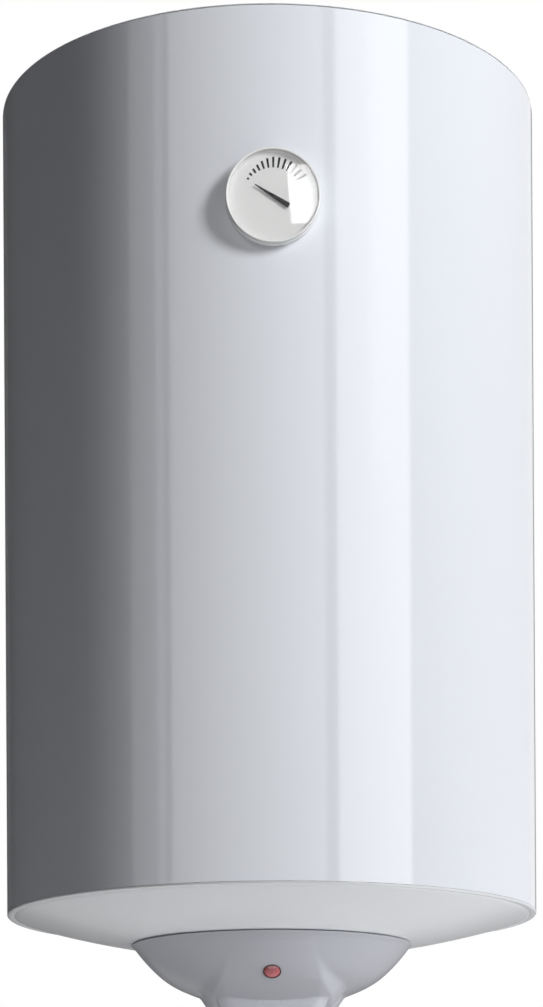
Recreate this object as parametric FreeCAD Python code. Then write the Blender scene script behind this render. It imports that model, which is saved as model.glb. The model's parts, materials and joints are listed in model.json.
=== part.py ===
import FreeCAD, Part
import math
import os
from FreeCAD import Vector

# An upright electric storage water heater of about 80 litres that hangs on a wall.
# Millimetres. Every piece is drawn about the casing's own axis: +Z up with zero at the casing's
# lower rim, -Y towards the room, +Y towards the wall and +X to the right seen from the room.
# The last step moves every piece, so that the origin is midway between the bracket's two slots.

# Clearances
SEAT_GAP = 0.3
SHAFT_GAP = 0.05
THREAD_GAP = 0.1

# Casing and its two lids
CASING_RADIUS = 225.0
CASING_HEIGHT = 678.0
CASING_SHEET = 0.8
RIM_HEIGHT = 1.7
RIM_LIP = 6.0
RIM_CHAMFER = 1.2
LID_SHEET = 1.5
DISH_RADIUS = 770.0
TOP_LIP = 8.0
TOP_RISE = 6.0
TOP_SLOPE_WIDTH = 12.0
LID_OPENING_RADIUS = 76.0

# Tank and foam
FOAM_THICKNESS = 21.2
TANK_SHEET = 2.0
TANK_BOTTOM = 8.0
TANK_TOP_FOAM = 26.0
END_DEPTH = 50.0
COLLAR_RADIUS = 66.0
COLLAR_BORE = 44.0
COLLAR_DROP = 14.0
COLLAR_TOP = 18.0
FOAM_OPENING_RADIUS = 78.0

# Flange in the tank's bottom and what it carries
PLATE_RADIUS = 65.0
PLATE_THICKNESS = 4.0
BOLT_COUNT = 5
BOLT_CIRCLE_RADIUS = 54.0
BOLT_HEAD_FLATS = 13.0
BOLT_HEAD_HEIGHT = 5.3
ELEMENT_RADIUS = 4.2
ELEMENT_LENGTH = 300.0
ELEMENT_HALF_SPAN = 20.0
ELEMENT_OFFSET = -18.0
ELEMENT_BEND_STEPS = 4
TERMINAL_LENGTH = 18.0
TERMINAL_WIDTH = 6.3
TERMINAL_SHEET = 0.8
BEAD_FLATS = 9.0
BEAD_LENGTH = 7.0
POCKET_RADIUS = 5.0
POCKET_WALL = 0.8
POCKET_LENGTH = 280.0
POCKET_DROP = 6.0
ANODE_RADIUS = 10.5
ANODE_LENGTH = 230.0
ANODE_OFFSET = 27.0

# Water pipes
PIPE_HALF_SPACING = 50.0
PIPE_BEHIND_AXIS = 140.0
PIPE_RADIUS = 10.65
PIPE_BORE = 7.75
PIPE_END = -54.0
THREAD_RADIUS = 10.48
THREAD_LENGTH = 20.0
PIPE_INSIDE = 14.0
STANDPIPE_WALL = 1.0
STANDPIPE_HEADROOM = 45.0
DIFFUSER_LENGTH = 70.0
DIFFUSER_SLOT_WIDTH = 3.0
DIFFUSER_SLOT_LENGTH = 30.0
COLOUR_RING_RADIUS = 17.0
COLOUR_RING_THICKNESS = 5.0
COLOUR_RING_SIDES = 12

# Cap over the electrical parts
CAP_RADIUS = 120.0
CAP_WALL = 2.5
CAP_LIP_HEIGHT = 2.8
BOWL_TOP_RADIUS = 117.0
BOWL_MIDDLE_RADIUS = 88.0
BOWL_MIDDLE_DROP = 29.8
BOWL_END_RADIUS = 62.0
BOWL_END_DROP = 41.1
BOSS_SLANT = 33.5
BOSS_CHAMFER = 2.0
CAP_DEPTH = 55.7
CONSOLE_START_RADIUS = 108.0
CONSOLE_END_RADIUS = 58.0
CONSOLE_END_DROP = 49.0
CONSOLE_TOP_HALF = 34.0
CONSOLE_FOOT_HALF = 39.5
CONSOLE_FLARE = 60.0
KNOB_WELL_RADIUS = 24.0
KNOB_WELL_DEPTH = 12.0
CAP_SCREW_AZIMUTH = 32.0
CAP_SCREW_CIRCLE_RADIUS = 92.0
CAP_SCREW_HEAD_RADIUS = 3.8
CAP_SCREW_HEAD_HEIGHT = 2.6
SCREW_WELL_RADIUS = 5.5

# Pilot lamp in the cap's console
LAMP_CIRCLE_RADIUS = 91.5
LAMP_BEZEL_RADIUS = 7.6
LAMP_BEZEL_HEIGHT = 1.2
LAMP_LENS_RADIUS = 6.2
LAMP_LENS_EDGE = 0.8
LAMP_LENS_RISE = 1.2
LAMP_STEM_HALF = 4.0
LAMP_STEM_LENGTH = 18.0

# Thermostat, its button, spindle and knob
THERMOSTAT_WIDTH = 50.0
THERMOSTAT_DEPTH = 30.0
THERMOSTAT_HEIGHT = 26.0
THERMOSTAT_SHIFT = 4.0
THERMOSTAT_CORNER = 3.0
SENSOR_RADIUS = 3.6
SENSOR_LENGTH = 250.0
SPINDLE_RADIUS = 3.0
SPINDLE_FLAT = 0.8
SPINDLE_IN_BODY = 10.0
KNOB_RADIUS = 21.0
KNOB_HEIGHT = 12.5
KNOB_EDGE = 1.5
KNOB_SCALLOPS = 6
KNOB_SCALLOP_RADIUS = 9.0
KNOB_SCALLOP_DEPTH = 1.6
KNOB_GRIP_WIDTH = 8.0
KNOB_GRIP_HEIGHT = 4.0
RESET_RADIUS = 3.0
RESET_OFFSET = -16.0
RESET_PROUD = 3.0
RESET_TRAVEL = 1.5
RESET_DEPTH = 5.0

# Mains terminal block and the inlet for the mains lead
BLOCK_WIDTH = 42.0
BLOCK_DEPTH = 13.0
BLOCK_HEIGHT = 13.0
BLOCK_RADIUS_FROM_AXIS = 86.0
BLOCK_WAYS = 3
BLOCK_WAY_SIZE = 5.0
INLET_BORE = 4.5
INLET_HALF_WIDTH = 8.0
INLET_HALF_HEIGHT = 6.0
INLET_DROP = 11.7
INLET_INNER = 98.0
INLET_OUTER = 114.0
INLET_FLANGE = 2.0
INLET_FLANGE_THICKNESS = 3.0

# Front thermometer
DIAL_HEIGHT = 526.5
DIAL_AZIMUTH = 1.0
DIAL_RADIUS = 36.6
DIAL_FRONT_RADIUS = 35.6
DIAL_PROUD = 10.0
DIAL_WINDOW_RADIUS = 33.6
DIAL_FACE_DEPTH = 3.6
DIAL_FACE_SHEET = 0.8
LENS_THICKNESS = 1.4
LENS_RISE = 2.6
LENS_GAP = 0.1
NEEDLE_TIP = 16.4
NEEDLE_TAIL = 14.4
NEEDLE_WIDTH = 4.0
NEEDLE_TIP_WIDTH = 0.8
NEEDLE_SHEET = 0.6
NEEDLE_HUB_RADIUS = 2.6
NEEDLE_HUB_HEIGHT = 0.6
NEEDLE_LIFT = 1.2
NEEDLE_COLD_ANGLE = 148.0
ARBOR_RADIUS = 1.0
ARBOR_DEPTH = 4.0
STEM_RADIUS = 4.0

# Wall brackets
WALL_GAP = 15.0
BRACKET_SHEET = 3.0
BRACKET_HEIGHT = 46.0
BRACKET_CORNER = 8.0
BRACKET_FROM_TOP = 160.0
SPACER_FROM_BOTTOM = 150.0
BRACKET_PAD_HALF = 58.0
BRACKET_JOG = 14.0
BRACKET_HALF_LENGTH = 140.0
SPACER_HALF_LENGTH = 110.0
SLOT_SPACING = 200.0
SLOT_LENGTH = 30.0
SLOT_HALF_WIDTH = 5.0
STUD_RADIUS = 5.0
STUD_HALF_SPACING = 32.0
STUD_NUT_FLATS = 16.0
STUD_NUT_HEIGHT = 6.0
STUD_PROUD = 1.5

# Sizes that follow from those above
CASING_INSIDE = CASING_RADIUS - CASING_SHEET
SHELL_LOW = RIM_HEIGHT + SEAT_GAP
SHELL_HIGH = CASING_HEIGHT - RIM_HEIGHT - SEAT_GAP
DISH_START = CASING_RADIUS - RIM_LIP
DISH_CENTRE = math.sqrt(DISH_RADIUS ** 2 - DISH_START ** 2)
WALL_Y = CASING_RADIUS + WALL_GAP
PIPE_Y = PIPE_BEHIND_AXIS
BRACKET_Z = CASING_HEIGHT - BRACKET_FROM_TOP
PAD_Y = CASING_RADIUS + SEAT_GAP
TANK_RADIUS = CASING_INSIDE - FOAM_THICKNESS
TANK_TOP = CASING_HEIGHT - TANK_TOP_FOAM
END_RADIUS = (TANK_RADIUS ** 2 + END_DEPTH ** 2) / (2 * END_DEPTH)
CAP_TOP = DISH_CENTRE - math.sqrt(DISH_RADIUS ** 2 - (BOWL_TOP_RADIUS - CAP_WALL) ** 2) - SEAT_GAP
BOWL_TOP = CAP_TOP - CAP_LIP_HEIGHT
CAP_BOTTOM = BOWL_TOP - CAP_DEPTH
INLET_HEIGHT = BOWL_TOP - INLET_DROP
PLATE_TOP = -COLLAR_DROP - SEAT_GAP
PLATE_BOTTOM = PLATE_TOP - PLATE_THICKNESS
THERMOSTAT_TOP = PLATE_BOTTOM - POCKET_DROP
THERMOSTAT_BOTTOM = THERMOSTAT_TOP - THERMOSTAT_HEIGHT
KNOB_WELL_FLOOR = CAP_BOTTOM + KNOB_WELL_DEPTH
KNOB_TOP = KNOB_WELL_FLOOR - SEAT_GAP
KNOB_FACE = KNOB_TOP - KNOB_HEIGHT + KNOB_GRIP_HEIGHT
SPINDLE_END = KNOB_FACE + 1.5
DIAL_FACE = DIAL_PROUD - LENS_THICKNESS - DIAL_FACE_DEPTH
DIAL_FLOOR = DIAL_FACE - DIAL_FACE_SHEET
ORIGIN = Vector(0, WALL_Y, BRACKET_Z)

# The hot outlet is on the left seen from the room, as on most heaters of this kind
HOT_SIDE = -1


# Shape helpers

def outline_face(points):
    """Flat face in the radius and height plane from its corner points."""
    corners = [Vector(radius, 0, height) for radius, height in points]
    return Part.Face(Part.makePolygon(corners + corners[:1]))


def revolved(*points):
    """Solid of revolution about Z from a closed outline of radius and height."""
    return outline_face(points).revolve(Vector(0, 0, 0), Vector(0, 0, 1), 360)


def rod(radius, low, high, x=0.0, y=0.0):
    """Upright cylinder between two heights."""
    return Part.makeCylinder(radius, high - low, Vector(x, y, low))


def ring(outer, inner, low, high, x=0.0, y=0.0):
    """Upright tube between two heights."""
    return rod(outer, low, high, x, y).cut(rod(inner, low - 1, high + 1, x, y))


def rod_y(radius, near, far, x, z):
    """Cylinder along Y between two depths."""
    return Part.makeCylinder(radius, far - near, Vector(x, near, z), Vector(0, 1, 0))


def ball(radius, height, upper=False):
    """Sphere about a point of the axis, with its poles to the sides and its seam away from use."""
    sphere = Part.makeSphere(radius)
    sphere.rotate(Vector(0, 0, 0), Vector(1, 1, 1), -120)
    if upper:
        sphere.rotate(Vector(0, 0, 0), Vector(0, 1, 0), 180)
    sphere.translate(Vector(0, 0, height))
    return sphere


def prism(flats, sides, low, high, x=0.0, y=0.0):
    """Upright regular prism from its width across flats, with corners on its X axis."""
    corner = flats / 2 / math.cos(math.pi / sides)
    points = []
    for i in range(sides + 1):
        turn = 2 * math.pi * i / sides
        points.append(Vector(x + corner * math.cos(turn), y + corner * math.sin(turn), low))
    return Part.Face(Part.makePolygon(points)).extrude(Vector(0, 0, high - low))


def block(x0, x1, y0, y1, z0, z1):
    """Box between two corners."""
    return Part.makeBox(x1 - x0, y1 - y0, z1 - z0, Vector(x0, y0, z0))


def on_circle(radius, degrees):
    """Plan position at an angle counted from +X."""
    turn = math.radians(degrees)
    return radius * math.cos(turn), radius * math.sin(turn)


def group(shapes):
    """Several separate solids kept as one node."""
    return Part.makeCompound(shapes)


def laid(shape, place, outward):
    """Move a piece drawn along +Z so that it stands at a place and points outward."""
    moved = shape.copy()
    turn = FreeCAD.Rotation(Vector(0, 0, 1), outward)
    moved.Placement = FreeCAD.Placement(place, turn)
    return moved


# Casing and lids

def lid_height(radius):
    """Height of the bottom lid's dished outer face at a radius from the axis."""
    return DISH_CENTRE - math.sqrt(DISH_RADIUS ** 2 - radius ** 2)


def casing_shell():
    """Rolled sheet tube between the two lids' rims, with holes for the stem and the studs."""
    shell = ring(CASING_RADIUS, CASING_INSIDE, SHELL_LOW, SHELL_HIGH)
    shell = shell.cut(dial_hole(STEM_RADIUS + 1))
    for x in stud_places():
        shell = shell.cut(rod_y(STUD_RADIUS + 0.5, TANK_RADIUS - 5, WALL_Y, x, BRACKET_Z))
    return shell


def bottom_lid():
    """Pressed lid: a folded rim under the casing, a flat lip and a dish with its holes."""
    sheet = LID_SHEET
    lid = revolved(
        (0, 0), (CASING_RADIUS - RIM_CHAMFER, 0), (CASING_RADIUS, RIM_CHAMFER),
        (CASING_RADIUS, RIM_HEIGHT), (0, RIM_HEIGHT))
    deep = rod(CASING_RADIUS, -60, RIM_HEIGHT + 1)
    lid = lid.fuse(ball(DISH_RADIUS, DISH_CENTRE).common(rod(CASING_RADIUS, -60, 0)))
    lid = lid.cut(ball(DISH_RADIUS - sheet, DISH_CENTRE).common(deep))
    lid = lid.cut(rod(LID_OPENING_RADIUS, -60, RIM_HEIGHT + 1))
    for side in (-1, 1):
        lid = lid.cut(rod(PIPE_RADIUS + SEAT_GAP, PIPE_END, RIM_HEIGHT + 1, side * PIPE_HALF_SPACING, PIPE_Y))
    return lid.removeSplitter()


def top_lid():
    """Pressed lid on the casing's upper edge, raised in one step inside its rim."""
    high = CASING_HEIGHT
    low = high - RIM_HEIGHT
    step = CASING_RADIUS - TOP_LIP
    crown = step - TOP_SLOPE_WIDTH
    return revolved(
        (0, low + TOP_RISE), (crown, low + TOP_RISE), (step, low), (CASING_RADIUS, low),
        (CASING_RADIUS, high), (step, high), (crown, high + TOP_RISE), (0, high + TOP_RISE))


# Tank, foam and wall fixings

def tank_solid(extra):
    """The tank's outer form grown by extra: a cylinder closed by two dished ends."""
    low = ball(END_RADIUS + extra, TANK_BOTTOM + END_RADIUS)
    high = ball(END_RADIUS + extra, TANK_TOP - END_RADIUS, True)
    body = rod(TANK_RADIUS + extra, TANK_BOTTOM - 5, TANK_TOP + 5)
    return body.common(low).common(high)


def tank_shell():
    """Welded steel vessel with dished ends and a thick collar around its lower opening."""
    tank = tank_solid(0).cut(tank_solid(-TANK_SHEET))
    tank = tank.fuse(rod(COLLAR_RADIUS, -COLLAR_DROP, COLLAR_TOP))
    tank = tank.cut(rod(COLLAR_BORE, -COLLAR_DROP - 1, COLLAR_TOP + 1))
    for side in (-1, 1):
        x, y = pipe_place(side)
        tank = tank.cut(rod(PIPE_RADIUS + THREAD_GAP, PIPE_END, pipe_top() + 10, x, y))
    return tank


def insulation_foam():
    """Rigid foam that fills the casing around the tank, open below around the collar."""
    foam = rod(CASING_INSIDE - SEAT_GAP, SHELL_LOW, SHELL_HIGH - SEAT_GAP)
    foam = foam.cut(tank_solid(SEAT_GAP))
    foam = foam.cut(rod(FOAM_OPENING_RADIUS, 0, TANK_BOTTOM + END_DEPTH))
    foam = foam.cut(dial_hole(STEM_RADIUS + SEAT_GAP))
    for side in (-1, 1):
        x, y = pipe_place(side)
        foam = foam.cut(rod(PIPE_RADIUS + SEAT_GAP, PIPE_END, pipe_top() + 10, x, y))
    for x in stud_places():
        foam = foam.cut(rod_y(STUD_RADIUS + SEAT_GAP, TANK_RADIUS / 2, WALL_Y, x, BRACKET_Z))
    return foam


def stud_places():
    """Sideways positions of the two studs that carry the bracket."""
    return [-STUD_HALF_SPACING, STUD_HALF_SPACING]


def bracket_studs():
    """Studs welded to the tank's back that carry the bracket."""
    far = PAD_Y + BRACKET_SHEET + STUD_NUT_HEIGHT + STUD_PROUD
    wall = rod(TANK_RADIUS + THREAD_GAP, 0, CASING_HEIGHT)
    return group([rod_y(STUD_RADIUS, TANK_RADIUS / 2, far, x, BRACKET_Z).cut(wall) for x in stud_places()])


def bracket_nuts():
    """One hexagon nut on each stud."""
    near = PAD_Y + BRACKET_SHEET
    nut = prism(STUD_NUT_FLATS, 6, 0, STUD_NUT_HEIGHT)
    nut = nut.cut(rod(STUD_RADIUS + THREAD_GAP, -1, STUD_NUT_HEIGHT + 1))
    return group([laid(nut, Vector(x, near, BRACKET_Z), Vector(0, 1, 0)) for x in stud_places()])


def bent_strip(half_length, height_centre):
    """Sheet bracket seen from above as a hat: a pad on the casing and two wings on the wall."""
    near = PAD_Y
    back = WALL_Y - BRACKET_SHEET
    half = BRACKET_PAD_HALF
    step = BRACKET_SHEET * 0.4
    right = [
        (half, near), (half + BRACKET_JOG, back), (half_length, back), (half_length, WALL_Y),
        (half + BRACKET_JOG - step, WALL_Y), (half - step, near + BRACKET_SHEET)]
    left = [(-x, y) for x, y in reversed(right)]
    low = height_centre - BRACKET_HEIGHT / 2
    points = [Vector(x, y, low) for x, y in right + left]
    strip = Part.Face(Part.makePolygon(points + points[:1])).extrude(Vector(0, 0, BRACKET_HEIGHT))
    ends = [e for e in strip.Edges if is_end_corner(e, half_length)]
    return strip.makeChamfer(BRACKET_CORNER, ends)


def is_end_corner(edge, half_length):
    """True for the short edges across the sheet at a strip's two ends."""
    a = edge.Vertexes[0].Point
    b = edge.Vertexes[-1].Point
    across = abs(a.x - b.x) < 1e-6 and abs(a.z - b.z) < 1e-6
    return across and abs(abs(a.x) - half_length) < 1e-6


def wall_bracket():
    """Upper bracket with a level slot in each wing for the wall hooks."""
    strip = bent_strip(BRACKET_HALF_LENGTH, BRACKET_Z)
    for x in stud_places():
        strip = strip.cut(rod_y(STUD_RADIUS + 0.5, PAD_Y - 1, PAD_Y + BRACKET_SHEET + 1, x, BRACKET_Z))
    straight = SLOT_LENGTH / 2 - SLOT_HALF_WIDTH
    near = WALL_Y - BRACKET_SHEET - 1
    far = WALL_Y + 1
    for side in (-1, 1):
        x = side * SLOT_SPACING / 2
        slot = block(x - straight, x + straight, near, far,
                     BRACKET_Z - SLOT_HALF_WIDTH, BRACKET_Z + SLOT_HALF_WIDTH)
        for end in (-1, 1):
            slot = slot.fuse(rod_y(SLOT_HALF_WIDTH, near, far, x + end * straight, BRACKET_Z))
        strip = strip.cut(slot)
    return strip


def wall_spacer():
    """Lower strip without slots, which keeps the casing upright against the wall."""
    return bent_strip(SPACER_HALF_LENGTH, SPACER_FROM_BOTTOM)


# Flange plate and what it carries

def element_flange():
    """Plate that closes the tank, with the thermostat's pocket tube welded through it."""
    bore = POCKET_RADIUS - POCKET_WALL
    tip = PLATE_TOP + POCKET_LENGTH
    return revolved(
        (bore, THERMOSTAT_TOP), (POCKET_RADIUS, THERMOSTAT_TOP), (POCKET_RADIUS, PLATE_BOTTOM),
        (PLATE_RADIUS, PLATE_BOTTOM), (PLATE_RADIUS, PLATE_TOP), (POCKET_RADIUS, PLATE_TOP),
        (POCKET_RADIUS, tip), (0, tip), (0, tip - POCKET_WALL), (bore, tip - POCKET_WALL))


def flange_bolts():
    """Heads of the bolts that press the plate against the collar, one of them at the back."""
    heads = []
    for i in range(BOLT_COUNT):
        x, y = on_circle(BOLT_CIRCLE_RADIUS, 90 + 360 * i / BOLT_COUNT)
        heads.append(prism(BOLT_HEAD_FLATS, 6, PLATE_BOTTOM - BOLT_HEAD_HEIGHT, PLATE_BOTTOM, x, y))
    return group(heads)


def heating_element():
    """Sheathed rod bent into one long hairpin that stands on the plate."""
    bend = ELEMENT_HALF_SPAN
    y = ELEMENT_OFFSET
    high = PLATE_TOP + ELEMENT_LENGTH - bend
    path = [Vector(-bend, y, PLATE_TOP)]
    for i in range(ELEMENT_BEND_STEPS + 1):
        x, rise = on_circle(bend, 180 - 180 * i / ELEMENT_BEND_STEPS)
        path.append(Vector(x, y, high + rise))
    path.append(Vector(bend, y, PLATE_TOP))
    section = Part.Wire(Part.makeCircle(ELEMENT_RADIUS, path[0], Vector(0, 0, 1)))
    return Part.makePolygon(path).makePipeShell([section], True, False, 1)


def element_terminals():
    """Ceramic beads and push-on blades under the plate, one pair for each end of the element."""
    pieces = []
    low = PLATE_BOTTOM - BEAD_LENGTH
    half = TERMINAL_SHEET / 2
    near = ELEMENT_OFFSET - TERMINAL_WIDTH / 2
    far = ELEMENT_OFFSET + TERMINAL_WIDTH / 2
    for side in (-1, 1):
        x = side * ELEMENT_HALF_SPAN
        bead = prism(BEAD_FLATS, 6, low, PLATE_BOTTOM, x, ELEMENT_OFFSET)
        pieces.append(bead.fuse(block(x - half, x + half, near, far, low - TERMINAL_LENGTH, low)))
    return group(pieces)


def magnesium_anode():
    """Sacrificial rod that stands on the plate."""
    return rod(ANODE_RADIUS, PLATE_TOP, PLATE_TOP + ANODE_LENGTH, 0, ANODE_OFFSET)


# Water pipes

def pipe_place(side):
    """Plan position of one of the two pipes."""
    return side * PIPE_HALF_SPACING, PIPE_Y


def pipe_top():
    """Height of the pipes' upper ends, a little above the tank's dished bottom."""
    reach = math.hypot(PIPE_HALF_SPACING, PIPE_Y)
    return TANK_BOTTOM + END_RADIUS - math.sqrt(END_RADIUS ** 2 - reach ** 2) + PIPE_INSIDE


def pipe_nipple(side):
    """Steel pipe through the tank's end, foam and lid, turned down at its foot for a thread."""
    x, y = pipe_place(side)
    low = PIPE_END + THREAD_LENGTH
    pipe = rod(PIPE_RADIUS, low, pipe_top(), x, y).fuse(rod(THREAD_RADIUS, PIPE_END, low, x, y))
    return pipe.cut(rod(PIPE_BORE, PIPE_END - 1, pipe_top() + 1, x, y))


def colour_ring(side):
    """Coloured plastic collar on a pipe, with its upper face parallel to the dished lid."""
    x, y = pipe_place(side)
    reach = math.hypot(x, y)
    top = lid_height(reach)
    slope = math.asin(reach / DISH_RADIUS)
    outward = Vector(x / reach * math.sin(slope), y / reach * math.sin(slope), -math.cos(slope))
    low = lid_height(reach - COLOUR_RING_RADIUS) - COLOUR_RING_THICKNESS
    collar = prism(2 * COLOUR_RING_RADIUS, COLOUR_RING_SIDES, low, top + 10, x, y)
    collar = collar.cut(prism(2 * (PIPE_RADIUS + SHAFT_GAP), COLOUR_RING_SIDES, low - 1, top + 11, x, y))
    above = block(-40, 40, -40, 40, -40, SEAT_GAP)
    return collar.cut(laid(above, Vector(x, y, top), outward))


def hot_standpipe():
    """Long tube that takes the hottest water from just under the tank's top."""
    x, y = pipe_place(HOT_SIDE)
    outer = PIPE_BORE - SHAFT_GAP
    return ring(outer, outer - STANDPIPE_WALL, 0, TANK_TOP - TANK_SHEET - STANDPIPE_HEADROOM, x, y)


def inlet_diffuser():
    """Short closed tube whose side slots spread the cold water along the tank's bottom."""
    x, y = pipe_place(-HOT_SIDE)
    outer = PIPE_BORE - SHAFT_GAP
    high = pipe_top() + DIFFUSER_LENGTH
    tube = rod(outer, 0, high, x, y).cut(rod(outer - STANDPIPE_WALL, -1, high - 2, x, y))
    half = DIFFUSER_SLOT_WIDTH / 2
    top = high - 8
    return tube.cut(block(x - 20, x + 20, y - half, y + half, top - DIFFUSER_SLOT_LENGTH, top))


# Cap over the electrical parts

def through(wide, high, narrow, low):
    """Radius and centre height of the sphere on the axis through two circles."""
    centre = (wide ** 2 - narrow ** 2 + high ** 2 - low ** 2) / (2 * (high - low))
    return math.hypot(wide, high - centre), centre


def bowl_balls():
    """The bowl's two spheres, the upper and steeper one first."""
    top = BOWL_TOP
    middle = top - BOWL_MIDDLE_DROP
    upper = through(BOWL_TOP_RADIUS, top, BOWL_MIDDLE_RADIUS, middle)
    lower = through(BOWL_MIDDLE_RADIUS, middle, BOWL_END_RADIUS, top - BOWL_END_DROP)
    return upper, lower


def console_ball():
    """The sphere of the console's face, which leaves the bowl's upper sphere at one circle."""
    radius, centre = bowl_balls()[0]
    start = centre - math.sqrt(radius ** 2 - CONSOLE_START_RADIUS ** 2)
    return through(CONSOLE_START_RADIUS, start, CONSOLE_END_RADIUS, BOWL_TOP - CONSOLE_END_DROP)


def meeting_height(one, other, inset):
    """Height at which two spheres, both smaller by inset, have the same radius from the axis."""
    squares = (one[0] - inset) ** 2 - (other[0] - inset) ** 2
    return (squares - one[1] ** 2 + other[1] ** 2) / (2 * (other[1] - one[1]))


def boss_radius(z, inset=0.0):
    """Radius of the slanted boss under the bowl at a height."""
    slant = math.radians(BOSS_SLANT)
    fall = BOWL_TOP - BOWL_END_DROP - z
    return BOWL_END_RADIUS - fall * math.tan(slant) - inset / math.cos(slant)


def boss_meeting(inset):
    """Height at which the boss's cone comes out of the bowl's lower sphere."""
    radius, centre = bowl_balls()[1]
    grow = math.tan(math.radians(BOSS_SLANT))
    base = boss_radius(0, inset)
    a = 1 + grow ** 2
    b = base * grow - centre
    c = base ** 2 + centre ** 2 - (radius - inset) ** 2
    return (-b - math.sqrt(b ** 2 - a * c)) / a


def cap_body(inset):
    """The cap's outer form without its console, or its hollow when inset by the wall."""
    upper, lower = bowl_balls()
    split = meeting_height(upper, lower, inset)
    end = boss_meeting(inset)
    floor = CAP_BOTTOM + inset
    rim = BOWL_TOP if inset == 0 else CAP_TOP + 1
    body = ball(upper[0] - inset, upper[1]).common(rod(CAP_RADIUS, split, rim))
    body = body.fuse(ball(lower[0] - inset, lower[1]).common(rod(CAP_RADIUS, end, split)))
    edge = BOSS_CHAMFER
    boss = revolved(
        (0, end), (boss_radius(end, inset), end), (boss_radius(floor + edge, inset), floor + edge),
        (boss_radius(floor + edge, inset) - edge, floor), (0, floor))
    return body.fuse(boss)


def console_body():
    """Front panel that grows out of the bowl, with flared sides."""
    radius, centre = console_ball()
    low = BOWL_TOP - CONSOLE_END_DROP
    swell = ball(radius, centre).common(rod(CAP_RADIUS, low, BOWL_TOP - 5))
    return swell.common(console_wedge())


def console_wedge():
    """Roof-shaped prism, wider at its foot, that trims the console's two sides."""
    radius, centre = console_ball()
    top_z = centre - math.sqrt(radius ** 2 - CONSOLE_START_RADIUS ** 2)
    foot_z = BOWL_TOP - CONSOLE_END_DROP
    top = Vector(0, -math.sqrt(CONSOLE_START_RADIUS ** 2 - CONSOLE_TOP_HALF ** 2), top_z)
    foot = Vector(0, -math.sqrt(CONSOLE_END_RADIUS ** 2 - CONSOLE_FOOT_HALF ** 2), foot_z)
    along = foot.sub(top)
    span = along.Length
    along.normalize()
    outward = Vector(0, along.z, -along.y)
    flare = math.tan(math.radians(CONSOLE_FLARE))
    reach = 60.0
    sections = []
    for shift in (-20.0, span + 20.0):
        half = CONSOLE_TOP_HALF + (CONSOLE_FOOT_HALF - CONSOLE_TOP_HALF) * shift / span
        apex = top.add(along * shift).add(outward * (half / flare))
        corner = apex.sub(outward * reach)
        side = Vector(reach * flare, 0, 0)
        sections.append(Part.makePolygon([apex, corner.add(side), corner.sub(side), apex]))
    return Part.makeLoft(sections, True, True)


def cap_screw_place(side):
    """Plan position of one of the cap's screws, in its rear half."""
    return on_circle(CAP_SCREW_CIRCLE_RADIUS, 90 - side * (90 - CAP_SCREW_AZIMUTH))


def screw_floor():
    """Height of the screw wells' closed ends, which meet the lid."""
    return lid_height(CAP_SCREW_CIRCLE_RADIUS - SCREW_WELL_RADIUS - CAP_WALL) - SEAT_GAP - CAP_WALL


def electrical_cap():
    """Moulded cover: bowl, boss, console, knob well, screw wells, lamp hole and lead inlet."""
    outer = cap_body(0).fuse(console_body())
    cap = outer.fuse(rod(CAP_RADIUS, BOWL_TOP, CAP_TOP))
    cap = cap.cut(cap_body(CAP_WALL))
    bottom = rod(KNOB_WELL_RADIUS + CAP_WALL, CAP_BOTTOM + CAP_WALL / 2, KNOB_WELL_FLOOR + CAP_WALL)
    cap = cap.fuse(bottom)
    cap = cap.cut(rod(KNOB_WELL_RADIUS, CAP_BOTTOM - 1, KNOB_WELL_FLOOR))
    cap = cap.cut(rod(SPINDLE_RADIUS + 1, KNOB_WELL_FLOOR - 1, KNOB_WELL_FLOOR + CAP_WALL + 1))
    floor = screw_floor()
    for side in (-1, 1):
        x, y = cap_screw_place(side)
        post = rod(SCREW_WELL_RADIUS + CAP_WALL, CAP_BOTTOM, floor + CAP_WALL, x, y)
        inside = post.common(outer.fuse(rod(CAP_RADIUS, BOWL_TOP, CAP_TOP + 10)))
        cap = cap.fuse(inside).cut(rod(SCREW_WELL_RADIUS, CAP_BOTTOM, floor, x, y))
    place, outward = lamp_seat()
    half = LAMP_STEM_HALF + SEAT_GAP
    cap = cap.cut(laid(block(-half, half, -half, half, -9, 9), place, outward))
    wide = INLET_HALF_WIDTH + SEAT_GAP
    tall = INLET_HALF_HEIGHT + SEAT_GAP
    boss = block(-wide - CAP_WALL, wide + CAP_WALL, INLET_INNER, INLET_OUTER,
                 INLET_HEIGHT - tall - CAP_WALL, INLET_HEIGHT + tall + CAP_WALL)
    cap = cap.fuse(boss)
    cap = cap.cut(block(-wide, wide, INLET_INNER - 20, INLET_OUTER + 5,
                        INLET_HEIGHT - tall, INLET_HEIGHT + tall))
    return cap.removeSplitter()


def cap_screws():
    """Heads of the two screws at the ends of the cap's wells."""
    floor = screw_floor()
    heads = []
    for side in (-1, 1):
        x, y = cap_screw_place(side)
        heads.append(rod(CAP_SCREW_HEAD_RADIUS, floor - CAP_SCREW_HEAD_HEIGHT, floor, x, y))
    return group(heads)


def lead_inlet():
    """Snap-in inlet for the mains lead, with a flange outside the cap."""
    wide = INLET_HALF_WIDTH
    tall = INLET_HALF_HEIGHT
    edge = INLET_FLANGE
    far = INLET_OUTER + INLET_FLANGE_THICKNESS
    body = block(-wide, wide, INLET_INNER, INLET_OUTER, INLET_HEIGHT - tall, INLET_HEIGHT + tall)
    body = body.fuse(block(-wide - edge, wide + edge, INLET_OUTER, far,
                           INLET_HEIGHT - tall - edge, INLET_HEIGHT + tall + edge))
    return body.cut(rod_y(INLET_BORE, INLET_INNER - 1, far + 1, 0, INLET_HEIGHT))


# Pilot lamp

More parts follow.
